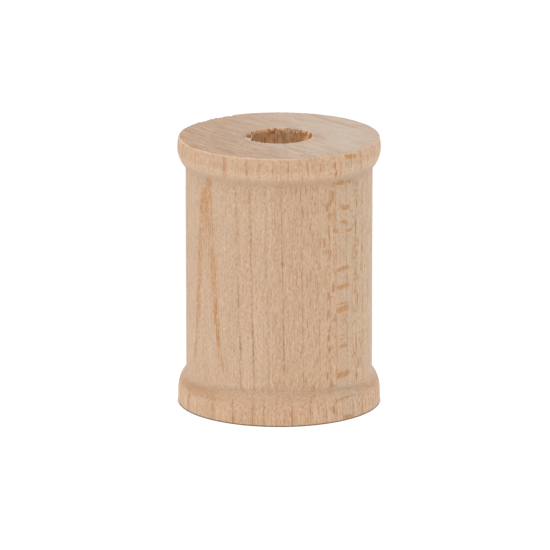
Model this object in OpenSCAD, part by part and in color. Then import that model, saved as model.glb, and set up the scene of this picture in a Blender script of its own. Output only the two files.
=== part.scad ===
// Wooden thread spool, turned from one piece of beech.
// It stands on its base face: the spool's axis is Z, and the origin is the centre of the base face.
// A plain barrel runs between two low rounded rims, and a straight bore runs through it end to end.

/* [Overall] */
// Height from base face to top face, mm
spool_h = 40.4; // [30:0.1:60]
// Widest diameter of both rims, mm
rim_d = 30; // [29.2:0.1:31]
// Diameter of the barrel that the thread is wound on, mm
barrel_d = 27.6; // [26.6:0.1:28.4]
// Diameter of the drilled through bore, mm
bore_d = 10; // [6:0.1:14]

/* [Base rim] */
// Height of the straight wall that the base rim stands on, mm
base_wall_h = 1.8; // [1:0.1:2.5]
// Radius of the base rim's bead, from its wall in to the barrel, mm
base_bead_r = 4.9; // [3.5:0.1:6]

/* [Top rim] */
// Depth of the widest point below the top face, mm
top_brow_h = 1.7; // [1:0.1:2.5]
// Radius of the flat curve from the widest point up to the top face, mm
top_brow_r = 7; // [5:0.5:20]
// Radius of the top rim's bead, from its widest point in to the barrel, mm
top_bead_r = 3.7; // [3.5:0.1:6]

/* [Both rims] */
// Radius of the small cove where a bead runs out onto the barrel, mm
cove_r = 0.65; // [0.4:0.05:1.2]
// Width of the broken edge round each end face, mm
edge_break = 0.15; // [0.1:0.05:0.4]

/* [Hidden] */

$fn = 96;
rim_r = rim_d / 2;
barrel_r = barrel_d / 2;
bore_r = bore_d / 2;
// Radius at which the top rim's brow would meet the top face
top_face_r = rim_r - top_brow_r + sqrt(pow(top_brow_r, 2) - pow(top_brow_h, 2));
// How far the cutters run past the surfaces they cut
cutter_run = 1;
// Pale beech, as turned, with no finish on it
beech = [0.80, 0.67, 0.55];

// Half profile of one rim from its widest point, at height belly_h above its end face, to the barrel.
// The bead is an arc that bulges outward, and the cove is a small arc that turns it onto the barrel.
module bead_profile(belly_h, bead_r) {
    reach = bead_r + cove_r;
    bead_centre = [rim_r - bead_r, belly_h];
    rise = sqrt(pow(reach, 2) - pow(barrel_r + cove_r - bead_centre.x, 2));
    cove_centre = [barrel_r + cove_r, belly_h + rise];
    // The bead and the cove touch on the line between their centres
    touch = bead_centre + (cove_centre - bead_centre) * bead_r / reach;

    intersection() {
        translate(bead_centre) circle(r = bead_r);
        translate([0, belly_h]) square([rim_r, touch.y - belly_h]);
    }
    translate([0, belly_h]) square([bead_centre.x, touch.y - belly_h]);
    difference() {
        polygon([[0, touch.y], touch, cove_centre, [0, cove_centre.y]]);
        translate(cove_centre) circle(r = cove_r);
    }
}

// Half profile of the base rim: a straight wall with a crisp lower edge, then the bead
module base_rim_profile() {
    polygon([
        [0, 0],
        [rim_r - edge_break, 0],
        [rim_r, edge_break],
        [rim_r, base_wall_h],
        [0, base_wall_h]
    ]);
    bead_profile(base_wall_h, base_bead_r);
}

// Half profile of the top rim upside down: a brow that leans in to the face, then the bead
module top_rim_profile() {
    difference() {
        intersection() {
            translate([rim_r - top_brow_r, top_brow_h]) circle(r = top_brow_r);
            square([rim_r, top_brow_h]);
        }
        polygon([
            [top_face_r - edge_break, 0],
            [top_face_r - edge_break, -cutter_run],
            [top_face_r + cutter_run, -cutter_run],
            [top_face_r + cutter_run, edge_break + cutter_run]
        ]);
    }
    square([rim_r - top_brow_r, top_brow_h]);
    bead_profile(top_brow_h, top_bead_r);
}

// Half profile of the whole turning, before it is bored
module spool_profile() {
    base_rim_profile();
    square([barrel_r, spool_h]);
    translate([0, spool_h]) mirror([0, 1]) top_rim_profile();
}

module spool() {
    color(beech)
    difference() {
        rotate_extrude() spool_profile();
        translate([0, 0, -cutter_run]) cylinder(r = bore_r, h = spool_h + 2 * cutter_run);
    }
}

spool();
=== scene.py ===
import math

import bpy
import numpy as np
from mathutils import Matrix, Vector, noise


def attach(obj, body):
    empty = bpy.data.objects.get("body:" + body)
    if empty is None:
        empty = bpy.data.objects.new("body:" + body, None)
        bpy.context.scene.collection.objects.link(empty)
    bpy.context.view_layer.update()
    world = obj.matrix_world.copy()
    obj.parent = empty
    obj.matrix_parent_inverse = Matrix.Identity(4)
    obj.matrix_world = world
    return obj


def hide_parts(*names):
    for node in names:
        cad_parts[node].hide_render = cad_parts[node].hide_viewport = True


# A bare thread spool, turned from one piece of beech. The mesh is turned like the real spool: one outline
# is swept round the axis, then the places where the wood tore or wore are pushed in or out.
# The material is a block of beech in three dimensions, so rings, rays and pores line up on every face.
# Lengths are in millimetres until a mesh, a lamp or the camera is made.

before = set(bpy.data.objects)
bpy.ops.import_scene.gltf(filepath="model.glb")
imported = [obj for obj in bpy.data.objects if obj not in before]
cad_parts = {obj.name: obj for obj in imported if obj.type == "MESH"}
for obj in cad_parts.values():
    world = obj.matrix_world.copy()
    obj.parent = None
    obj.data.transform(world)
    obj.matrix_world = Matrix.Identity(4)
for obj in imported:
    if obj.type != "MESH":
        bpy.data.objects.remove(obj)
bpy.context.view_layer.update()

MM = 0.001

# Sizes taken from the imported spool
cad_points = np.array([v.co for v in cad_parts["spool"].data.vertices]) / MM
cad_radii = np.hypot(cad_points[:, 0], cad_points[:, 1])
HEIGHT = cad_points[:, 2].max()
RIM_R = cad_radii.max()
BORE_R = cad_radii.min()
BARREL_R = cad_radii[cad_radii > BORE_R + 1].min()

# Curves of the rims, the same as in the part
BASE_WALL_H = 1.8
BASE_BEAD_R = 4.9
TOP_BROW_H = 1.7
TOP_BROW_R = 7.0
TOP_BEAD_R = 3.7
COVE_R = 0.65

# Small roundings that the real edges have
TOP_EDGE_R = 0.28
BASE_EDGE_R = 0.15
MOUTH_EDGE_R = 0.08

COLUMNS = 400
FIBRE_COUNT = 34
# A direction that no fibre runs along
UNLIKE_ANY_ROD = (0.31, 0.17, 0.93)
# The direction across the saw marks on the end faces
SAW_X, SAW_Y = 0.695, 0.719

# Heights where the beads meet their coves
BASE_COVE_Z = 5.1
TOP_COVE_Z = 36.2

# The chip in the top face, just left of the bore, and the browned grain that leads to it
CHIP_X, CHIP_Y = -4.45, 0.2
CHIP_HALF_X, CHIP_HALF_Y = 0.34, 1.5
TAIL_X, TAIL_Y = -4.9, -0.5
TAIL_HALF_X, TAIL_HALF_Y = 0.5, 0.9

# Single marks on the surface, in degrees to the right of straight ahead, mm up, and mm towards the bark
FLUSH_DEG, FLUSH_Z = -54, 3.7
STAIN_DEG = -85
FUZZY_DEG = -62
BROWN_BAND_RING = -12.15


# ---------------------------------------------------------------- outline

def line(start, end, step):
    """Points about step apart, from start up to but not including end."""
    start, end = np.array(start), np.array(end)
    count = max(1, round(float(np.linalg.norm(end - start)) / step))
    return [start + (end - start) * i / count for i in range(count)]


def arc(centre, radius, start_deg, end_deg, step):
    """Points about step apart round an arc, without its last point. Angles are from outward, towards up."""
    sweep = math.radians(end_deg - start_deg)
    count = max(1, round(abs(sweep) * radius / step))
    angles = [math.radians(start_deg) + sweep * i / count for i in range(count)]
    return [np.array(centre) + radius * np.array([math.cos(a), math.sin(a)]) for a in angles]


def bead_and_cove(bead_r):
    """Height from a bead's centre to its cove's centre, and the angle at which the two arcs meet."""
    across = BARREL_R + COVE_R - RIM_R + bead_r
    rise = math.sqrt((bead_r + COVE_R) ** 2 - across ** 2)
    return rise, math.degrees(math.atan2(rise, across))


def spool_outline():
    """The closed outline as (radius, height) rows: up the bore, out, down the outside and back in."""
    top_rise, top_meet = bead_and_cove(TOP_BEAD_R)
    base_rise, base_meet = bead_and_cove(BASE_BEAD_R)
    belly_z = HEIGHT - TOP_BROW_H
    # The rounding of the top edge touches the face and the inside of the brow
    round_z = HEIGHT - TOP_EDGE_R
    round_r = RIM_R - TOP_BROW_R + math.sqrt(
        (TOP_BROW_R - TOP_EDGE_R) ** 2 - (TOP_BROW_H - TOP_EDGE_R) ** 2)
    brow_deg = math.degrees(math.asin((TOP_BROW_H - TOP_EDGE_R) / (TOP_BROW_R - TOP_EDGE_R)))
    cove_x = BARREL_R + COVE_R
    mouth_x = BORE_R + MOUTH_EDGE_R
    rows = []
    rows += arc((mouth_x, MOUTH_EDGE_R), MOUTH_EDGE_R, 270, 180, 0.06)
    rows += line((BORE_R, MOUTH_EDGE_R), (BORE_R, HEIGHT - 8), 1.3)
    rows += line((BORE_R, HEIGHT - 8), (BORE_R, HEIGHT - 2.5), 0.32)
    rows += line((BORE_R, HEIGHT - 2.5), (BORE_R, HEIGHT - MOUTH_EDGE_R), 0.12)
    rows += arc((mouth_x, HEIGHT - MOUTH_EDGE_R), MOUTH_EDGE_R, 180, 90, 0.04)
    rows += line((mouth_x, HEIGHT), (6.2, HEIGHT), 0.09)
    rows += line((6.2, HEIGHT), (round_r - 1.2, HEIGHT), 0.3)
    rows += line((round_r - 1.2, HEIGHT), (round_r, HEIGHT), 0.15)
    rows += arc((round_r, round_z), TOP_EDGE_R, 90, brow_deg, 0.07)
    rows += arc((RIM_R - TOP_BROW_R, belly_z), TOP_BROW_R, brow_deg, 0, 0.2)
    rows += arc((RIM_R - TOP_BEAD_R, belly_z), TOP_BEAD_R, 0, -top_meet, 0.22)
    rows += arc((cove_x, belly_z - top_rise), COVE_R, 180 - top_meet, 180, 0.1)
    rows += line((BARREL_R, belly_z - top_rise), (BARREL_R, BASE_WALL_H + base_rise), 0.75)
    rows += arc((cove_x, BASE_WALL_H + base_rise), COVE_R, 180, 180 + base_meet, 0.1)
    rows += arc((RIM_R - BASE_BEAD_R, BASE_WALL_H), BASE_BEAD_R, base_meet, 0, 0.16)
    rows += line((RIM_R, BASE_WALL_H), (RIM_R, BASE_EDGE_R), 0.25)
    rows += arc((RIM_R - BASE_EDGE_R, BASE_EDGE_R), BASE_EDGE_R, 0, -90, 0.06)
    rows += line((RIM_R - BASE_EDGE_R, 0), (mouth_x, 0), 0.6)
    return np.array(rows)


# ---------------------------------------------------------------- tears and wear

def bumps(x, y, z, seed):
    """Smooth noise from about -1 to 1 with features one unit across, for arrays of coordinates."""
    flat = zip(np.ravel(x) + 17.3 * seed, np.ravel(y) - 9.1 * seed, np.ravel(z) + 5.7 * seed)
    return np.array([noise.noise(Vector(p)) for p in flat]).reshape(np.shape(x)) * 1.6


def rise_between(value, low, high):
    """0 below low, 1 above high, and smooth between. It falls instead when low is above high."""
    t = np.clip((value - low) / (high - low), 0, 1)
    return t * t * (3 - 2 * t)


def near_angle(azimuth, centre_deg, half_deg):
    """1 at an angle round the axis, falling smoothly to 0 at half_deg to either side of it."""
    off = np.abs((np.degrees(azimuth) - centre_deg + 180) % 360 - 180)
    return rise_between(off, half_deg, 0)


def tear_the_mouth(radius, height, azimuth):
    """The drill tore the top of the bore: a ragged edge, a chipped tongue on the left, a stringy wall."""
    depth = HEIGHT - height
    round_bore = BORE_R * azimuth
    at_bore = rise_between(radius, BORE_R + 1.1, BORE_R)
    torn = 0.3 + 0.7 * np.clip(near_angle(azimuth, 95, 90) + near_angle(azimuth, 175, 60), 0, 1)
    # The broken edge wanders in and out near the top face, and settles a millimetre or so down
    wander = 0.15 * bumps(round_bore / 0.7, 0 * depth, depth / 1.6, 1)
    nibble = 0.13 * bumps(round_bore / 0.25, 0 * depth, depth / 0.7, 2)
    mouth = (wander + nibble) * torn * rise_between(depth, 1.6, 0)
    # It broke back further at the right, behind the middle
    mouth = mouth + 0.22 * near_angle(azimuth, 27, 22) * rise_between(depth, 1.2, 0)
    # Fibres run down the wall, and some pulled out deeper
    fibres = 0.06 * bumps(round_bore / 0.22, 0 * depth, depth / 3.5, 3)
    pulled = 0.22 * rise_between(bumps(round_bore / 0.9, 0 * depth, depth / 2.2, 4), 0.1, 0.7)
    wall = (fibres + pulled) * rise_between(depth, 0.1, 0.6)
    # A tongue of skin cuts straight across the left of the mouth
    chord = 4.2 / np.maximum(np.abs(np.cos(azimuth)), 0.5)
    left = rise_between(np.abs(np.degrees(azimuth) % 360 - 181), 35, 28)
    tongue = (BORE_R - np.minimum(chord, BORE_R)) * left * rise_between(depth, 0.9, 0.2)
    radius = radius + at_bore * (mouth + wall - tongue)
    # The skin sinks a little towards the torn edge
    sink = 0.12 * torn * (0.6 + 0.6 * bumps(round_bore / 0.5, radius / 0.4, 0 * depth, 5))
    height = height - sink * rise_between(radius, BORE_R + 0.5, BORE_R) * rise_between(depth, 0.3, 0)
    # A chip broke out of the tongue
    x, y = radius * np.cos(azimuth), radius * np.sin(azimuth)
    from_chip = np.hypot((x - CHIP_X) / CHIP_HALF_X, (y - CHIP_Y) / CHIP_HALF_Y)
    height = height - 0.25 * rise_between(from_chip, 1.3, 0.6) * rise_between(depth, 0.3, 0)
    return radius, height


def wear_the_top_edge(radius, height, azimuth):
    """The sawn edge is crumbled at the back left, fuzzy at one spot in front, and nearly clean elsewhere."""
    from_edge = np.hypot(RIM_R - 0.2 - radius, HEIGHT - height)
    at_edge = rise_between(from_edge, 0.9, 0.1)
    round_rim = RIM_R * azimuth
    turn = np.degrees(azimuth)
    crumbled = rise_between(turn, 117, 119) * rise_between(turn, 170, 150)
    fuzzy = near_angle(azimuth, 209, 7)
    grit = bumps(round_rim / 0.45, radius / 0.4, height / 0.4, 6)
    chips = rise_between(bumps(round_rim / 1.1, 0 * radius, 0 * height, 7), -0.2, 0.6)
    loss = 0.015 * grit + crumbled * (0.07 + 0.07 * chips + 0.04 * grit) + fuzzy * (0.07 + 0.16 * grit)
    return radius - 0.8 * at_edge * loss, height - at_edge * loss


def saw_the_faces(radius, height, azimuth):
    """Faint ridges across both end faces, left by the saw."""
    x, y = radius * np.cos(azimuth), radius * np.sin(azimuth)
    across, along = SAW_X * x + SAW_Y * y, SAW_Y * x - SAW_X * y
    fine = 0.008 * bumps(across / 0.7, along / 12, 0 * x, 8)
    ridges = fine + 0.02 * bumps(across / 3, along / 9, 0 * x, 9)
    on_top = (height > HEIGHT - 0.02) & (radius < RIM_R - 0.4)
    return radius, height + np.where(on_top, ridges - 0.02, 0)


def work_the_sides(radius, height, azimuth):
    """The barrel isn't perfectly even, and the tool tore a curved line in the base rim's shoulder."""
    outside = radius > BORE_R + 2
    x, y = radius * np.cos(azimuth), radius * np.sin(azimuth)
    side = outside & (height > 0.3) & (height < HEIGHT - 0.3)
    uneven = 0.018 * bumps(x / 5, y / 5, height / 6, 10) + 0.006 * bumps(x / 0.8, y / 0.8, height / 3, 11)
    facing = np.degrees(azimuth) + 90
    curve = shoulder_tear_height(facing)
    along = rise_between(facing, 31, 36) * rise_between(facing, 60, 50)
    groove = 0.09 * along * rise_between(np.abs(height - curve), 0.22, 0.02)
    lip = 0.03 * along * rise_between(np.abs(height - curve - 0.3), 0.25, 0.05)
    return radius + np.where(side, uneven - groove + lip, 0), height


def shoulder_tear_height(facing_deg):
    """Height of the torn line on the base rim, at an angle to the right of straight ahead."""
    turn = facing_deg - 46
    return turn * turn * -0.0024 + 3.45


def turned_spool():
    """The spool as one closed mesh: the outline swept round the axis, with its tears and wear."""
    rows = spool_outline()
    azimuth = np.arange(COLUMNS) * 2 * math.pi / COLUMNS
    radius, azimuth = np.meshgrid(rows[:, 0], azimuth, indexing="ij")
    height = np.repeat(rows[:, 1:], COLUMNS, axis=1)
    for work in (work_the_sides, saw_the_faces, wear_the_top_edge, tear_the_mouth):
        radius, height = work(radius, height, azimuth)
    points = np.stack([radius * np.cos(azimuth), radius * np.sin(azimuth), height], axis=-1) * MM
    here = np.arange(len(rows) * COLUMNS).reshape(len(rows), COLUMNS)
    next_row, next_column = np.roll(here, -1, axis=0), np.roll(here, -1, axis=1)
    diagonal = np.roll(next_row, -1, axis=1)
    quads = np.stack([here, next_row, diagonal, next_column], axis=-1).reshape(-1, 4)
    mesh = bpy.data.meshes.new("turned_spool")
    mesh.from_pydata(points.reshape(-1, 3).tolist(), [], quads.tolist())
    mesh.shade_smooth()
    piece = bpy.data.objects.new("turned_spool", mesh)
    bpy.context.scene.collection.objects.link(piece)
    return piece


def rod(path, thickness):
    """Points and faces of a thin closed rod along a path, tapering towards both ends."""
    path = np.array(path)
    count = len(path)
    sides = 6
    along = np.gradient(path, axis=0)
    along /= np.linalg.norm(along, axis=1)[:, None]
    across = np.cross(along, UNLIKE_ANY_ROD)
    across /= np.linalg.norm(across, axis=1)[:, None]
    other = np.cross(along, across)
    points = []
    for i in range(count):
        taper = 0.25 + 0.75 * math.sin(math.pi * (i + 0.5) / count)
        for k in range(sides):
            turn = 2 * math.pi * k / sides
            offset = math.cos(turn) * across[i] + math.sin(turn) * other[i]
            points.append(path[i] + offset * thickness / 2 * taper)
    faces = [tuple(range(sides - 1, -1, -1)), tuple(range((count - 1) * sides, count * sides))]
    for i in range(count - 1):
        for k in range(sides):
            here, beside = i * sides + k, i * sides + (k + 1) % sides
            faces.append((here, beside, beside + sides, here + sides))
    return points, faces


def torn_fibres():
    """Loose fibres at the mouth: a strand across the hole on its left, and bits that hang into the bore."""
    draw = np.random.default_rng(11)
    strand = [(-4.3, 1.6, HEIGHT - 0.25), (-4.14, 0.9, HEIGHT - 0.10), (-4.06, 0.1, HEIGHT - 0.05),
              (-4.04, -0.8, HEIGHT - 0.04), (-4.08, -1.6, HEIGHT - 0.07), (-4.2, -2.4, HEIGHT - 0.2)]
    rods = [rod(strand, 0.17)]
    for _ in range(FIBRE_COUNT):
        turn = math.radians(draw.uniform(25, 155))
        length = draw.uniform(0.3, 0.75)
        lean = draw.uniform(0.05, 0.28)
        twist = draw.uniform(-0.06, 0.06)
        path = []
        for t in (0, 0.35, 0.7, 1):
            reach = BORE_R + 0.12 - (lean + 0.12) * t
            path.append((reach * math.cos(turn + twist * t), reach * math.sin(turn + twist * t),
                         HEIGHT - 0.12 - length * t))
        rods.append(rod(path, draw.uniform(0.10, 0.24)))
    points, faces = [], []
    for rod_points, rod_faces in rods:
        faces += [tuple(len(points) + i for i in face) for face in rod_faces]
        points += [tuple(p * MM) for p in rod_points]
    mesh = bpy.data.meshes.new("torn_fibres")
    mesh.from_pydata(points, [], faces)
    mesh.shade_smooth()
    piece = bpy.data.objects.new("torn_fibres", mesh)
    bpy.context.scene.collection.objects.link(piece)
    return piece


# ---------------------------------------------------------------- shader helpers

def srgb(red, green, blue):
    """A colour as it looks on screen, 0 to 255, as linear light for a node."""
    def linear(c):
        return c / 12.92 if c <= 0.04045 else ((c + 0.055) / 1.055) ** 2.4
    return tuple(linear(c / 255) for c in (red, green, blue)) + (1.0,)


class Field:
    """A number that varies over the surface: one node socket, which combines with + - * and /."""

    def __init__(self, tree, socket):
        self.tree = tree
        self.socket = socket

    def math(self, operation, *others):
        node = self.tree.nodes.new("ShaderNodeMath")
        node.operation = operation
        for slot, value in zip(node.inputs, (self, *others)):
            plug(slot, value)
        return Field(self.tree, node.outputs[0])

    def __add__(self, other):
        return self.math("ADD", other)

    def __sub__(self, other):
        return self.math("SUBTRACT", other)

    def __mul__(self, other):
        return self.math("MULTIPLY", other)

    def __truediv__(self, other):
        return self.math("DIVIDE", other)

    def __rtruediv__(self, other):
        return self.math("POWER", -1.0) * other

    def step(self, low, high, bottom=0.0, top=1.0):
        """bottom below low, top above high, and smooth between."""
        node = self.tree.nodes.new("ShaderNodeMapRange")
        node.interpolation_type = "SMOOTHSTEP"
        for slot, value in zip(node.inputs, (self, low, high, bottom, top)):
            plug(slot, value)
        return Field(self.tree, node.outputs["Result"])

    def length(self):
        """How long a vector field is."""
        node = self.tree.nodes.new("ShaderNodeVectorMath")
        node.operation = "LENGTH"
        plug(node.inputs[0], self)
        return Field(self.tree, node.outputs["Value"])


def plug(slot, value):
    """Links a field to an input, or sets the input to a plain value."""
    if isinstance(value, Field):
        value.tree.links.new(value.socket, slot)
    else:
        slot.default_value = value


def point(x, y, z):
    """A vector field from three number fields."""
    node = x.tree.nodes.new("ShaderNodeCombineXYZ")
    for slot, value in zip(node.inputs, (x, y, z)):
        plug(slot, value)
    return Field(x.tree, node.outputs[0])


def cloud(where, detail, roughness, seed):
    """Smooth noise round 0.5, with features one unit across."""
    node = where.tree.nodes.new("ShaderNodeTexNoise")
    node.noise_dimensions = "4D"
    plug(node.inputs["Vector"], where)
    node.inputs["W"].default_value = seed
    node.inputs["Scale"].default_value = 1.0
    node.inputs["Detail"].default_value = detail
    node.inputs["Roughness"].default_value = roughness
    return Field(where.tree, node.outputs["Fac"])


def cells(where):
    """Distance to the nearest of a scatter of points, about one to each unit cell, and a number for it."""
    node = where.tree.nodes.new("ShaderNodeTexVoronoi")
    plug(node.inputs["Vector"], where)
    node.inputs["Scale"].default_value = 1.0
    split = where.tree.nodes.new("ShaderNodeSeparateColor")
    where.tree.links.new(node.outputs["Color"], split.inputs[0])
    return Field(where.tree, node.outputs["Distance"]), Field(where.tree, split.outputs[0])


def looked_up(position, low, high, stops, jump=False):
    """A number found along a scale from low to high, from (position, value) stops.
    It goes straight from each stop to the next, or with jump it keeps each value until the next stop."""
    node = position.tree.nodes.new("ShaderNodeValToRGB")
    scaled = (position - low) / (high - low)
    position.tree.links.new(scaled.socket, node.inputs[0])
    ramp = node.color_ramp
    ramp.interpolation = "CONSTANT" if jump else "LINEAR"
    ramp.elements.remove(ramp.elements[1])
    ramp.elements[0].position = 0.0
    ramp.elements[0].color = (0, 0, 0, 1)
    for place, value in sorted(stops):
        element = ramp.elements.new((place - low) / (high - low))
        element.color = (value, value, value, 1)
    return Field(position.tree, node.outputs["Color"])


def mixed(amount, first, second, blend="MIX"):
    """A colour field: first where amount is 0 and second where it is 1. At least one of them is a field."""
    tree = next(value.tree for value in (amount, first, second) if isinstance(value, Field))
    node = tree.nodes.new("ShaderNodeMix")
    node.data_type = "RGBA"
    node.blend_type = blend
    node.clamp_factor = True
    plug(node.inputs[0], amount)
    plug(node.inputs[6], first)
    plug(node.inputs[7], second)
    return Field(tree, node.outputs[2])


# ---------------------------------------------------------------- the block of beech

# The bark was to the front left of the spool, and the rings are nearly flat, because the pith was far
# off to the back right. Both are given as in a plan: degrees to the right of straight ahead, and mm.
BARK_DEG = -52.0
PITH_AWAY = 130.0
# The grain leans a little, so a ring comes closer to the bark side as it goes up
RING_TILT = 0.0125

# Where each growth ring ends, as mm towards the bark from the spool's axis: place, width, strength
RINGS = (
    (-13.4, 0.30, 0.6), (-11.9, 0.30, 0.7), (-10.3, 0.30, 0.7), (-8.8, 0.25, 0.5), (-6.8, 0.25, 0.45),
    (-5.1, 0.22, 0.6), (-3.25, 0.26, 0.85), (-1.15, 0.20, 0.85), (0.9, 0.15, 0.7), (2.0, 0.15, 0.75),
    (3.8, 0.10, 1.0), (6.1, 0.10, 1.0), (8.5, 0.10, 0.9), (10.2, 0.13, 0.6), (11.5, 0.13, 0.8),
    (12.5, 0.11, 0.65), (14.0, 0.10, 0.7), (15.03, 0.08, 0.8),
)

# Wide ray flecks in the strip where the surface runs along the rays:
# height, half height, first and last degree to the right of the middle of the strip, strength
FLECKS = (
    (0.4, 0.30, -5.5, 3.0, 0.9), (6.6, 0.42, -6.2, 4.1, 1.0), (10.9, 0.27, -4.3, 2.7, 0.75),
    (12.1, 0.09, -4.5, 1.5, 0.5), (12.55, 0.10, -4.5, 2.7, 0.6), (16.6, 0.45, -6.2, 3.5, 0.95),
    (17.5, 0.09, -6.2, 3.0, 0.5), (20.0, 0.34, -6.2, 4.2, 1.0), (22.7, 0.31, -6.2, 4.2, 0.8),
    (28.4, 0.24, 0.4, 6.8, 0.7), (29.7, 0.25, -3.3, 2.7, 0.9), (31.9, 0.40, -2.7, 3.5, 0.8),
    (35.7, 0.40, -6.2, -1.0, 1.0), (39.75, 0.30, -4.2, 4.1, 1.0),
)
SIDE_FLECKS = (
    (2.9, 0.35, 7.3, 9.1, 0.7), (8.3, 0.60, -12.4, -10.8, 0.7), (14.0, 0.50, -12.2, -10.0, 0.8),
    (18.6, 0.50, -12.2, -10.4, 0.6), (21.6, 0.95, -15.4, -13.6, 0.6), (25.1, 0.60, -12.8, -10.8, 0.8),
    (27.0, 0.50, -18.2, -16.4, 0.6), (28.45, 0.40, -9.4, -5.6, 0.9), (30.6, 0.40, -12.9, -9.5, 0.7),
    (34.0, 0.55, -11.8, -8.0, 0.7), (35.75, 0.30, 0.8, 5.6, 0.9), (38.5, 0.40, -13.0, -10.8, 0.8),
)

LONG_GRAIN = srgb(195, 162, 132)
PALE_GRAIN = srgb(200, 170, 143)
RIM_GRAIN = srgb(201, 165, 134)
RING_ORANGE = srgb(182, 134, 92)
STREAK_ORANGE = srgb(188, 137, 88)
RING_DARK = srgb(156, 114, 80)
PALE_RING = srgb(207, 176, 147)
RAY_BROWN = srgb(166, 114, 72)
FLECK_BROWN = srgb(182, 130, 78)
QUARTER_GRAIN = srgb(192, 163, 136)
END_BARKWARD = srgb(166, 136, 111)
END_PAINTED_LIGHT = srgb(177, 158, 140)
# Brown of the chip, also used for the painted contact shadow at the foot
CHIP_AND_SHADOW_BROWN = srgb(130, 92, 52)
END_BROWN = srgb(164, 126, 97)
BORE_BROWN = srgb(220, 172, 126)
BORE_PALE = srgb(222, 180, 144)
BORE_DARK = srgb(173, 121, 79)
# Pale wood of the torn skin and fibres, also the colour of the painted edge highlights
PALE_WOOD_AND_HIGHLIGHT = srgb(214, 181, 153)
STRAND_BROWN = srgb(168, 124, 86)

# Painted shade on sloping surfaces: darker on the base rim and greyer on the top rim than upright ones, in
# linear light
BASE_SLOPE_SHADE = (0.93, 0.95, 0.97, 1.0)
TOP_SLOPE_SHADE = (0.97, 1.01, 1.035, 1.0)
# Painted sheen: the right side is a little less orange
RIGHT_SIDE_SHEEN = (0.985, 1.03, 1.055, 1.0)


class Block:
    """Where the surface is in the block that the spool was cut from, in mm, as fields."""

    def __init__(self, tree):
        place = tree.nodes.new("ShaderNodeTexCoord")
        split = tree.nodes.new("ShaderNodeSeparateXYZ")
        tree.links.new(place.outputs["Object"], split.inputs[0])
        self.x, self.y, self.z = (Field(tree, split.outputs[i]) * (1 / MM) for i in range(3))
        self.radius = (self.x * self.x + self.y * self.y).math("SQRT")
        geometry = tree.nodes.new("ShaderNodeNewGeometry")
        normal = tree.nodes.new("ShaderNodeSeparateXYZ")
        tree.links.new(geometry.outputs["Normal"], normal.inputs[0])
        upward = Field(tree, normal.outputs[2]).math("ABSOLUTE")
        self.on_rim = self.radius.step(BARREL_R + 0.05, BARREL_R + 0.8)
        self.end_face = upward.step(0.80, 0.95)
        self.slope = upward.step(0.1, 0.6) * (self.end_face * -1 + 1)
        self.wall = upward.step(0.95, 0.8)
        self.upper = self.z.step(HEIGHT / 2 - 1.2, HEIGHT / 2 + 0.8)

        # Degrees to the right of straight ahead
        self.facing = self.x.math("ARCTAN2", self.y * -1) * math.degrees(1)

        # On the sides of the rims the grain follows the rounding, so the rings show as upright lines there
        on_side = self.on_rim * (self.end_face * -1 + 1)
        straighten = (RIM_R / self.radius - 1) * on_side + 1
        bark_x, bark_y = math.sin(math.radians(BARK_DEG)), -math.cos(math.radians(BARK_DEG))
        self.outward = (self.x * bark_x + self.y * bark_y) * straighten
        self.sideways = (self.x * -bark_y + self.y * bark_x) * straighten
        from_pith = self.outward + PITH_AWAY
        pith_r = (from_pith * from_pith + self.sideways * self.sideways).math("SQRT")
        drift = (cloud(point(self.x * 0.3, self.y * 0.3, self.z * 0.15), 2.0, 0.5, 0.0) - 0.5) * 0.22
        self.ring = pith_r - PITH_AWAY - (self.z - HEIGHT / 2) * RING_TILT + drift
        self.ray = self.sideways.math("ARCTAN2", from_pith) * PITH_AWAY
        # Degrees to the right of the line where the surface runs along the rays, in front
        lean = self.outward * from_pith + self.sideways * self.sideways
        lean = lean / (pith_r * self.radius * straighten)
        self.off_quarter = lean.math("ARCSINE") * -math.degrees(1)
        # The rays dip towards the bark low down, and away from it higher up. The back has the same strip
        # as the front, with its flecks at other heights.
        dip = (self.outward + 1.4) * self.z.step(24, 27, 0.05, -0.10)
        self.height = self.z + dip + self.sideways.step(-1, 1, 3.23, -0.07)

    def noise(self, across, along, detail, roughness, seed):
        """Noise with so many features to a mm across the grain, and along it."""
        where = point(self.x * across, self.y * across, self.z * along)
        return cloud(where, detail, roughness, seed)


def ring_lines(block):
    """The dark ends of the growth rings and the pale bands just before them, each 0 to 1."""
    dark, pale = None, None
    half = len(RINGS) // 2
    for rings in (RINGS[:half], RINGS[half:]):
        lines, bands = [], []
        for place, width, strength in rings:
            lines += [(place - width, 0.0), (place, strength), (place + width * 0.6, 0.0)]
            bands += [(place - 0.8, 0.0), (place - 0.35, 1.0), (place - width, 0.0)]
        line = looked_up(block.ring, -16, 16, lines)
        band = looked_up(block.ring, -16, 16, bands)
        dark = line if dark is None else dark + line
        pale = band if pale is None else pale + band
    return dark, pale


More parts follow.
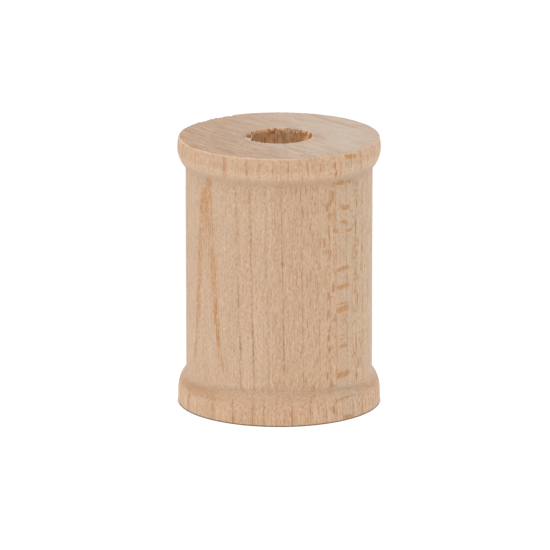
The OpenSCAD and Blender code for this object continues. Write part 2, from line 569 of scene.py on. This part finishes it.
def fleck_field(block, flecks):
    """Ray flecks from a list, as 0 to 1: ragged lenses that fade towards their edges."""
    ragged = cloud(point(block.outward * 3, block.z * 5, block.ray * 1.5), 2.0, 0.65, 20.0) - 0.5
    fibrous = cloud(point(block.ring * 5, block.ray * 3, block.height * 1.5), 2.0, 0.6, 21.0)
    low, high = -1, HEIGHT + 5
    amount = None
    for start in range(0, len(flecks), 7):
        tents, middles, halves, strengths = [], [], [], []
        for height, half, first, last, strength in flecks[start:start + 7]:
            half = half * 1.15
            tents += [(height - half, 0.0), (height, 1.0), (height + half, 0.0)]
            middles.append((height - half - 0.05, (first + last + 40) / 80))
            halves.append((height - half - 0.05, (last - first) / 40))
            strengths.append((height - half - 0.05, strength))
        tent = looked_up(block.height, low, high, tents)
        middle = looked_up(block.height, low, high, middles, jump=True) * 40 - 20
        half = looked_up(block.height, low, high, halves, jump=True) * 23 + 0.01
        strength = looked_up(block.height, low, high, strengths, jump=True)
        across = (block.off_quarter - middle) / half
        off_height = tent * -1 + 1
        spread = across * across
        out = off_height * off_height + spread * spread + ragged * 3.5
        part = out.step(1.5, 0.0) * tent.step(0.0, 0.15) * strength
        amount = part if amount is None else amount + part
    return amount * fibrous.step(0.32, 0.62, 0.45, 1.35)


def bark_streak(block):
    """The ring nearest the bark: the barrel only just cuts into it, so its two sides meet near the top."""
    z = block.z
    above = (z * -1 + 36.8).math("MAXIMUM", 0.0)
    below = (z * -1 + 20).math("MAXIMUM", 0.0)
    opening = above.math("SQRT") * 1.83 + below * below * 0.024
    wander = cloud(point(block.facing * 0.12, z * 0.15, z * 0), 2.0, 0.6, 22.0) - 0.5
    to_right = block.facing - z.step(33, 37, -50.9, -47.5) + wander * 1.5
    width = z.step(8, 20, 1.4, 2.9) * z.step(36.8, 33.5, 0.2, 1.0)
    outside = (to_right.math("ABSOLUTE") - opening) / width
    between = outside.step(0.3, -0.5) * z.step(19, 35, 0.0, 0.95)
    left = to_right.step(0.0, -1.0)
    faint = (z - 29.3).math("ABSOLUTE").step(4.2, 2.2) * (left * -1 + 1)
    faint = faint + ((z - 28.5).math("ABSOLUTE").step(2.2, 0.6) * 0.4 + z.step(32, 34, 0.2, 0.6)) * left
    fibres = block.noise(4.5, 0.3, 2.0, 0.7, 23.0).step(0.62, 0.42, 0.2, 1.2)
    line = outside.math("ABSOLUTE").step(1.5, 0.1) * (faint * -0.6 + 1)
    line = line.math("MAXIMUM", between) * fibres
    return line * block.on_rim.step(0.3, 0.0) * z.step(37.2, 36.4) * z.step(6, 10)


def ray_dashes(block):
    """Ends of small rays: short upright dashes, widest and darkest beside the quarter-sawn strip."""
    slim, pick = cells(point(block.ring * 0.3, block.ray * 8.0, block.height * 0.36))
    small, chosen = cells(point(block.ring * 0.4, block.ray * 9.0, block.height * 1.0))
    near_strip = block.off_quarter.math("ABSOLUTE").step(60, 14, 0.35, 1.0)
    dashes = slim.step(0.34, 0.20) * pick.step(0.3, 0.7, 0.4, 1.1) + small.step(0.34, 0.18) * chosen * 0.9
    return dashes * near_strip


class Grain:
    """The pattern of the wood itself: fibres, pores, growth rings and the quarter-sawn strip."""

    def __init__(self, block):
        # Noises round 0.5, from single hairs to slow changes along the block
        self.hairs = block.noise(10.5, 1.9, 1.0, 0.5, 1.0)
        self.strands = block.noise(9.0, 0.3, 1.0, 0.5, 2.0)
        self.bundles = block.noise(2.4, 0.22, 2.0, 0.6, 3.0)
        self.broad = block.noise(0.3, 0.06, 2.0, 0.5, 4.0)
        self.speckle = block.noise(4.5, 4.5, 2.0, 0.7, 9.0)
        self.stringy = block.noise(3.2, 0.9, 3.0, 0.6, 11.0)
        # Saw marks run along the rings
        self.saw = cloud(point(block.ring * 1.5, block.sideways * 0.16, block.z * 0), 4.0, 0.8, 8.0)
        pore, deep = cells(point(block.x * 5.5, block.y * 5.5, block.z))
        self.pores = pore.step(0.30, 0.16) * deep

        self.dark, self.pale = ring_lines(block)
        self.barkmost = block.ring.step(12.9, 13.3)
        amber = cloud(point(block.ring * 0.7, block.ray * 0.3, block.z * 0.14), 2.0, 0.5, 6.0)
        amber = amber.step(0.4, 0.6).math("MAXIMUM", self.barkmost)
        amber = amber.math("MAXIMUM", block.on_rim * 0.8)
        self.ring_colour = mixed(amber, RING_DARK, RING_ORANGE)

        quarter = block.off_quarter + (self.bundles - 0.5) * 1.5
        self.strip = quarter.step(-6.6, -5.9) * quarter.step(8.0, 6.4)


def late_wood(block, grain):
    """The dark ends of the growth rings, broken along the grain."""
    broken = cloud(point(block.ring * 1.1, block.ray * 0.4, block.z * 0.3), 2.0, 0.6, 5.0)
    broken = broken.step(0.38, 0.58, 0.4, 0.95)
    broken = broken.math("MAXIMUM", block.on_rim * 0.75).math("MAXIMUM", grain.barkmost * 0.9)
    fibrous = grain.hairs.step(0.66, 0.42, 0.4, 1.2) * grain.strands.step(0.66, 0.42, 0.6, 1.1)
    late = grain.dark * broken * fibrous * (block.on_rim * 0.4 + 1.3) * (block.slope * -0.9 + 1)
    return (late * (grain.barkmost * (block.on_rim - 1) + 1)).math("MINIMUM", 1.0)


def side_colour(block, grain):
    """Long grain on the barrel and the rims, with its rings, rays and single marks, and a painted contact
    shadow at the foot.
    """
    z = block.z
    tone = block.ring.step(8, 11.5) + block.ring.step(-3, -8)
    side = mixed(tone * 0.75 + (grain.broad - 0.5) * 1.2, LONG_GRAIN, PALE_GRAIN)
    side = mixed(block.on_rim * 0.75, side, RIM_GRAIN)
    side = mixed(grain.bundles.step(0.52, 0.68) * block.on_rim * 0.25, side, RING_ORANGE)
    side = mixed(grain.strip * 0.75, side, QUARTER_GRAIN)
    side = mixed(grain.pale * 0.16, side, PALE_RING)
    streak = bark_streak(block) * grain.hairs.step(0.66, 0.42, 0.5, 1.2)
    side = mixed(streak * 0.95, side, STREAK_ORANGE)
    # A flush on the left of the base rim's shoulder
    flush = (z - FLUSH_Z).math("ABSOLUTE").step(1.1, 0.4)
    flush = flush * (block.facing - FLUSH_DEG).math("ABSOLUTE").step(30, 10)
    side = mixed(flush * grain.bundles.step(0.4, 0.6, 0.3, 0.6), side, RING_ORANGE)
    side = mixed(late_wood(block, grain) * 0.85, side, grain.ring_colour)
    side = mixed(ray_dashes(block) * (grain.strip * -0.75 + 1) * 0.75, side, RAY_BROWN)
    flecks = fleck_field(block, FLECKS) + fleck_field(block, SIDE_FLECKS) * 0.75
    side = mixed(flecks, side, FLECK_BROWN)
    off_tear = (z - shoulder_tear_height(block.facing)).math("ABSOLUTE")
    tear = off_tear.step(0.17, 0.04) * block.facing.step(31, 35) * block.facing.step(56, 44)
    side = mixed(tear * grain.hairs.step(0.66, 0.42, 0.2, 1.0) * 0.7, side, RAY_BROWN)
    # Painted contact shadow: the foot is darkened to brown where it stands
    return mixed(z.step(0.24, 0.1) * 0.7, side, CHIP_AND_SHADOW_BROWN)


def side_contrast(block, grain):
    """How much lighter or darker than its colour the long grain is at each place, with painted shade in the
    coves and painted light and shade on the rims.
    """
    z = block.z
    # Painted shade: the coves and the slopes down to them are darker, as shade falls there
    dip = (block.facing * block.facing * 0.0003).math("MINIMUM", 1.4)
    off_cove = (z + dip - BASE_COVE_Z).math("ABSOLUTE")
    cove_shade = off_cove.step(0.8, 0.1) * 0.09 + off_cove.step(0.16, 0.04) * 0.05
    cove_shade = cove_shade + (z - TOP_COVE_Z).math("ABSOLUTE").step(1.3, 0.1) * 0.05
    # Painted light and shade: the underside of the top rim is a little paler, as if lit from below; below
    # the base cove the left is a little paler and the front and right darker; and the whole side is a little
    # darker towards the bottom
    paler = (z - 37.7).math("ABSOLUTE").step(1.0, 0.2) * 0.13
    paler = paler + z.step(5.0, 4.3) * block.facing.step(-38, -18, 0.02, -0.05) - z.step(14, 3) * 0.035
    specks = block.noise(8.0, 5.0, 0.0, 0.5, 15.0)
    tissue = cloud(point(block.outward * 0.8, block.ray * 3, block.height * 5.5), 2.0, 0.6, 7.0)
    top_rim = block.on_rim * block.upper
    contrast = (grain.hairs - 0.5) * (top_rim * -0.25 + 1)
    contrast = contrast + (grain.strands - 0.5) * (block.on_rim * 0.25 + 0.55)
    contrast = contrast + (grain.bundles - 0.5) * (block.on_rim * 0.24 + 0.06) - grain.pores * 0.16
    contrast = contrast * (grain.strip * -0.1 + 1) * (block.slope * -0.15 + 1)
    contrast = contrast + (specks - 0.5) * (top_rim * -0.15 + 0.25)
    return contrast + (tissue - 0.5) * grain.strip * 0.3 - cove_shade + paler


def end_colour(block, grain):
    """End grain on a face that is paler towards the right, a painted reflection, with its stains."""
    to_bark = block.outward - block.sideways * 0.5 + (grain.broad - 0.5) * 6
    # Painted light: the end face pales towards the right, like a reflection
    end = mixed(to_bark.step(-12, 12), END_PAINTED_LIGHT, END_BARKWARD)
    tinge = cloud(point(block.outward * 0.3, block.sideways * 0.12, block.z * 0), 2.0, 0.5, 10.0)
    end = mixed(tinge.step(0.5, 0.72, 0.0, 0.5), end, END_BROWN)
    end = mixed(grain.dark * block.ring.step(-9, -11, 0.16, 0.3), end, grain.ring_colour)
    soiled = block.noise(0.9, 0, 3.0, 0.7, 18.0).step(0.45, 0.62)
    end = mixed(soiled * block.radius.step(RIM_R - 2.0, RIM_R - 0.5) * 0.45, end, END_BROWN)
    # One ring shows as a broad brown band at the back right
    band = (block.ring - BROWN_BAND_RING).math("ABSOLUTE").step(0.9, 0.1)
    band = band * block.sideways.step(-9, -6) * block.sideways.step(4.5, 2)
    end = mixed(band * grain.speckle.step(0.35, 0.6, 0.3, 0.7), end, END_BROWN)
    # A stain at the left end of the edge, and a fuzzy spot beside it
    at_edge = block.radius.step(RIM_R - 1.9, RIM_R - 0.8)
    stain = (block.facing - STAIN_DEG).math("ABSOLUTE").step(14, 4) * at_edge
    end = mixed(stain * 0.5, end, RING_ORANGE)
    fuzzy = (block.facing - FUZZY_DEG).math("ABSOLUTE").step(7, 3) * at_edge
    return mixed(fuzzy * grain.speckle.step(0.42, 0.55, 0.0, 0.8), end, RAY_BROWN)


def end_contrast(block, grain):
    """How much lighter or darker than its colour the end grain is: saw marks, strongest towards the bark."""
    marks = (grain.saw - 0.5) * 1.35 + (grain.speckle - 0.5) * 0.90
    return marks * block.outward.step(-9, 9, 0.6, 1.5)


def bore_colour(block, grain):
    """Torn brown wood, stringy along the grain, with paler skin hanging over its top edge."""
    x, z = block.x, block.z
    lumps = block.noise(1.1, 0.8, 3.0, 0.6, 24.0)
    bore = mixed((grain.stringy * 0.45 + lumps * 0.55).step(0.38, 0.60), BORE_DARK, BORE_BROWN)
    bore = mixed(block.noise(0.6, 0.4, 1.0, 0.5, 17.0).step(0.48, 0.62, 0.0, 0.3), bore, BORE_PALE)
    scallop = block.noise(1.1, 0.25, 3.0, 0.65, 12.0)
    skin = (z + scallop.step(0.4, 0.62, 0.22, 1.0)).step(HEIGHT - 0.05, HEIGHT + 0.15)
    bore = mixed(skin * 0.8, bore, PALE_WOOD_AND_HIGHLIGHT)
    # It is paler on the right, and just under the top edge on the left
    high = z.step(HEIGHT - 0.9, HEIGHT - 0.4) * x.step(2.0, 0.5)
    light = x.step(1.8, 4.3, 0.84, 1.38) * (high * 0.24 + 1)
    return mixed(1.0, bore, point(light, light, light * 0.95), "MULTIPLY")


def painted_top_edge_highlight(block, grain):
    """A painted highlight along the top edge, at the front left, from 0 to 1."""
    off_edge = (block.radius - (RIM_R - 0.22)).math("ABSOLUTE")
    edge = off_edge.step(0.2, 0.06) * block.z.step(HEIGHT - 0.25, HEIGHT - 0.1)
    in_front = (block.outward - block.sideways * 0.35).step(-3, 6)
    return edge * in_front * grain.bundles.step(0.35, 0.6, 0.3, 1.0)


def chipped(block, grain):
    """The chip beside the bore and the grain that leads to it, from 0 to 1."""
    frayed = grain.speckle * 1.2 - 0.6
    off_chip = point((block.x - CHIP_X) / CHIP_HALF_X, (block.y - CHIP_Y) / CHIP_HALF_Y, block.x * 0)
    off_tail = point((block.x - TAIL_X) / TAIL_HALF_X, (block.y - TAIL_Y) / TAIL_HALF_Y, block.x * 0)
    chip = (off_chip.length() + frayed).step(1.45, 0.75)
    tail = (off_tail.length() + frayed).step(1.3, 0.4, 0.0, 0.5)
    return tail.math("MAXIMUM", chip) * block.z.step(HEIGHT - 0.7, HEIGHT - 0.5)


def shading(block, grain):
    """What the colour is multiplied with: the contrast, redder in the dark places, painted shade on the
    slopes and a painted sheen on the right side.
    """
    on_side = side_contrast(block, grain)
    shade = on_side + (end_contrast(block, grain) - on_side) * block.end_face + 1
    blush = block.noise(1.4, 0.2, 2.0, 0.6, 16.0) - 0.5
    tint = point(shade.math("POWER", 0.72) * (blush * 0.05 + 1), shade * (blush * -0.05 + 1),
                 shade.math("POWER", 1.29))
    # Painted shade on the sloping surfaces of the rims
    tint = mixed(block.slope, tint, mixed(block.upper, BASE_SLOPE_SHADE, TOP_SLOPE_SHADE), "MULTIPLY")
    # Painted sheen on the right side, weaker on the end faces
    right_sheen = block.facing.step(20, 34) * block.z.step(6, 5)
    right_sheen = right_sheen.math("MAXIMUM", block.facing.step(36, 58)) * (block.end_face * -0.7 + 1)
    return mixed(right_sheen, tint, RIGHT_SIDE_SHEEN, "MULTIPLY")


def beech():
    """Bare turned beech, as colour, roughness and relief in the block that the spool was cut from."""
    material = bpy.data.materials.new("beech")
    material.use_nodes = True
    tree = material.node_tree
    shader = tree.nodes["Principled BSDF"]
    block = Block(tree)
    grain = Grain(block)
    radius = block.radius
    in_bore = radius.step(BORE_R + 1.0, BORE_R + 0.7) * block.wall
    # A painted highlight along the front of the mouth's edge
    lip = radius.step(BORE_R + 0.3, BORE_R + 0.1) * block.end_face * block.y.step(0.0, -2.0)

    colour = mixed(block.end_face, side_colour(block, grain), end_colour(block, grain))
    # Painted highlights on the front of the top edge and of the mouth's edge
    colour = mixed(painted_top_edge_highlight(block, grain) * 0.8, colour, PALE_WOOD_AND_HIGHLIGHT)
    colour = mixed(lip * 0.8, colour, PALE_WOOD_AND_HIGHLIGHT)
    colour = mixed(in_bore, colour, bore_colour(block, grain))
    colour = mixed(chipped(block, grain), colour, CHIP_AND_SHADOW_BROWN)
    colour = mixed(1.0, colour, shading(block, grain), "MULTIPLY")
    tree.links.new(colour.socket, shader.inputs["Base Color"])

    # Relief: pores and fibres, faint turning marks on the rims, saw marks, and a rough bore
    turning = cloud(point(radius * 5, radius * 0, block.z * 5), 2.0, 0.5, 13.0) * block.on_rim
    relief = (grain.hairs + grain.strands + turning) * 0.006 - grain.pores * 0.008
    relief = relief + grain.stringy * in_bore * 0.08 + grain.saw * block.end_face * 0.012
    bump = tree.nodes.new("ShaderNodeBump")
    bump.inputs["Distance"].default_value = MM
    tree.links.new(relief.socket, bump.inputs["Height"])
    tree.links.new(bump.outputs[0], shader.inputs["Normal"])

    rough = grain.strands.step(0.3, 0.7, 0.68, 0.58) + in_bore * 0.2
    tree.links.new(rough.socket, shader.inputs["Roughness"])
    shader.inputs["IOR"].default_value = 1.45
    return material


def pale_fibres():
    """Torn beech, streaky along the grain: fresh and pale in the bits that hang into the bore."""
    material = bpy.data.materials.new("torn_beech")
    material.use_nodes = True
    tree = material.node_tree
    shader = tree.nodes["Principled BSDF"]
    block = Block(tree)
    streaks = block.noise(6.0, 1.2, 3.0, 0.6, 14.0)
    colour = mixed(streaks.step(0.35, 0.65), BORE_BROWN, PALE_WOOD_AND_HIGHLIGHT)
    # The strand on the left is older, and browner
    colour = mixed(block.x.step(-3.2, -3.5) * 0.7, colour, STRAND_BROWN)
    tree.links.new(colour.socket, shader.inputs["Base Color"])
    tree.links.new(streaks.step(0.3, 0.7, 0.6, 0.75).socket, shader.inputs["Roughness"])
    return material


# ---------------------------------------------------------------- the spool

spool = turned_spool()
spool.data.materials.append(beech())
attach(spool, "root")
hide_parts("spool")

fibres = torn_fibres()
fibres.data.materials.append(pale_fibres())
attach(fibres, "root")


# ---------------------------------------------------------------- stage, light and camera

CAMERA_ELEVATION = 14.76
CAMERA_AWAY = 1000.0
LENS = 442.0
AIM_LEFT = 0.60
AIM_DOWN = 1.05
FLOOR_SIDE = 6.0
FLOOR_PAINT = 0.5
FLOOR_GLOW = 0.40
NEAR_GLOW = 0.22
HORIZON_LIGHT = 0.78
OVERHEAD_LIGHT = 0.8


def white_floor():
    """A white table top that glows faintly, like a light table, except under the spool."""
    mesh = bpy.data.meshes.new("floor")
    half = FLOOR_SIDE / 2
    corners = [(-half, -half, 0), (half, -half, 0), (half, half, 0), (-half, half, 0)]
    mesh.from_pydata(corners, [], [(0, 1, 2, 3)])
    floor = bpy.data.objects.new("floor", mesh)
    bpy.context.scene.collection.objects.link(floor)
    material = bpy.data.materials.new("floor")
    material.use_nodes = True
    tree = material.node_tree
    shader = tree.nodes["Principled BSDF"]
    shader.inputs["Base Color"].default_value = (FLOOR_PAINT, FLOOR_PAINT, FLOOR_PAINT, 1)
    shader.inputs["Roughness"].default_value = 1.0
    shader.inputs["Specular IOR Level"].default_value = 0.0
    place = tree.nodes.new("ShaderNodeTexCoord")
    away = Field(tree, place.outputs["Object"]).length()
    # Painted light: the floor glows more within 25 mm of the spool, filling in its contact shadow
    glow = away.step(RIM_R * MM, (RIM_R + 25) * MM, NEAR_GLOW, 0.0) + FLOOR_GLOW
    glow = glow * away.step(RIM_R * MM, (RIM_R + 0.15) * MM)
    shader.inputs["Emission Color"].default_value = (1, 1, 1, 1)
    tree.links.new(glow.socket, shader.inputs["Emission Strength"])
    mesh.materials.append(material)


def light_tent():
    """Even white light from all round, stronger from above."""
    world = bpy.data.worlds.new("tent")
    bpy.context.scene.world = world
    world.use_nodes = True
    tree = world.node_tree
    background = tree.nodes["Background"]
    background.inputs["Color"].default_value = (1, 1, 1, 1)
    direction = tree.nodes.new("ShaderNodeTexCoord")
    split = tree.nodes.new("ShaderNodeSeparateXYZ")
    tree.links.new(direction.outputs["Generated"], split.inputs[0])
    height = Field(tree, split.outputs[2]).math("MAXIMUM", 0.0)
    plug(background.inputs["Strength"], height * OVERHEAD_LIGHT + HORIZON_LIGHT)


def camera():
    """The camera, far off and zoomed in, looking down a little on the spool."""
    tilt = math.radians(CAMERA_ELEVATION)
    back = Vector((0, -math.cos(tilt), math.sin(tilt)))
    up = Vector((0, math.sin(tilt), math.cos(tilt)))
    centre = Vector((0, 0, HEIGHT / 2))
    aim = centre - Vector((1, 0, 0)) * AIM_LEFT - up * AIM_DOWN
    data = bpy.data.cameras.new("camera")
    data.lens = LENS
    data.clip_end = 100
    view = bpy.data.objects.new("camera", data)
    view.location = (aim + back * CAMERA_AWAY) * MM
    view.rotation_euler = (-back).to_track_quat("-Z", "Y").to_euler()
    bpy.context.scene.collection.objects.link(view)
    bpy.context.scene.camera = view


white_floor()
light_tent()
camera()
bpy.context.scene.view_settings.view_transform = "Standard"
